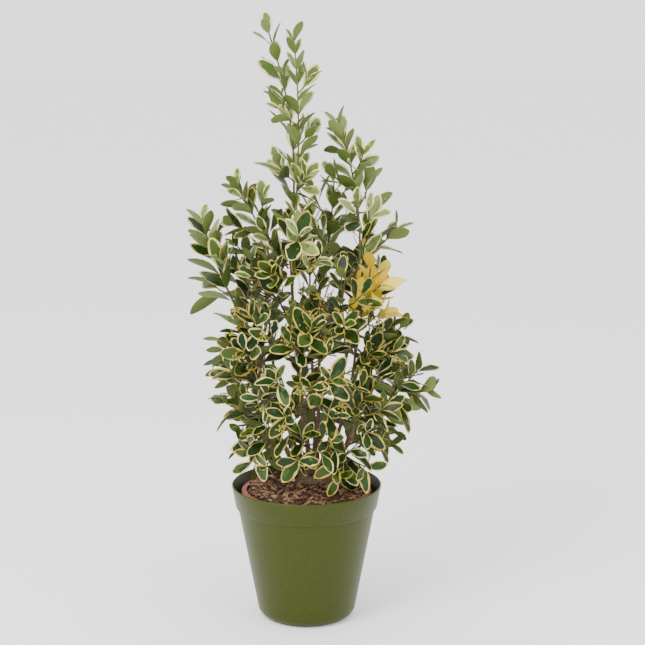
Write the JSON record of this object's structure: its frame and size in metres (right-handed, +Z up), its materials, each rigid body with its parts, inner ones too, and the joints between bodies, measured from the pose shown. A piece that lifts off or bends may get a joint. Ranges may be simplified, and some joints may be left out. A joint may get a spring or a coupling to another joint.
{
  "type": "potted euonymus shrub",
  "caption": "Upright, many-stemmed evergreen shrub with cream-edged green leaves, standing in a plain green pot.",
  "frame": {"origin": "centre of the outer pot's flat underside", "axes": "+Z up along the pot's axis, -Y towards the front of the plant, +X to its right"},
  "size_m": [0.3648, 0.3188, 0.8794],
  "materials": {
    "pot_plastic": "moulded olive-green plastic, satin",
    "pot_pink": "thin dusty-pink moulded plastic",
    "soil": "potting soil topped with bark chips",
    "bark": "brown bark",
    "dead_wood": "weathered grey dead wood",
    "leaf_green": "leathery leaves, green with cream margins",
    "leaf_yellow": "leathery yellow leaves"
  },
  "bodies": {
    "root": {"outer_pot": "pot_plastic", "nursery_pot": "pot_pink", "potting_soil": "soil", "dead_stub": "dead_wood", "root_crown": "bark", "leader_stem": "bark", "right_stem": "bark", "left_stem": "bark", "fork_stem": "bark", "front_stem": "bark", "low_left_stem": "bark", "low_right_stem": "bark", "back_left_stem": "bark", "back_right_stem": "bark", "back_stem": "bark", "leader_top": "leaf_green", "leader_twin": "leaf_green", "upper_left": "leaf_green", "shoulder_left": "leaf_green", "shoulder_front": "leaf_green", "right_top": "leaf_green", "right_shoulder": "leaf_green", "yellow_spray": "leaf_yellow", "mid_right": "leaf_green", "inner_right": "leaf_green", "fork_top": "leaf_green", "centre": "leaf_green", "far_left": "leaf_green", "left_high": "leaf_green", "left_mid": "leaf_green", "left_front": "leaf_green", "front_upper": "leaf_green", "front_right": "leaf_green", "front_left": "leaf_green", "front_low": "leaf_green", "low_left": "leaf_green", "low_left_front": "leaf_green", "low_left_side": "leaf_green", "low_right": "leaf_green", "low_right_side": "leaf_green", "low_right_front": "leaf_green", "right_front": "leaf_green", "back_left_top": "leaf_green", "back_left_mid": "leaf_green", "back_left_low": "leaf_green", "back_right_top": "leaf_green", "back_right_mid": "leaf_green", "back_right_low": "leaf_green", "back_top": "leaf_green", "back_mid": "leaf_green", "back_low": "leaf_green"}
  },
  "joints": []
}
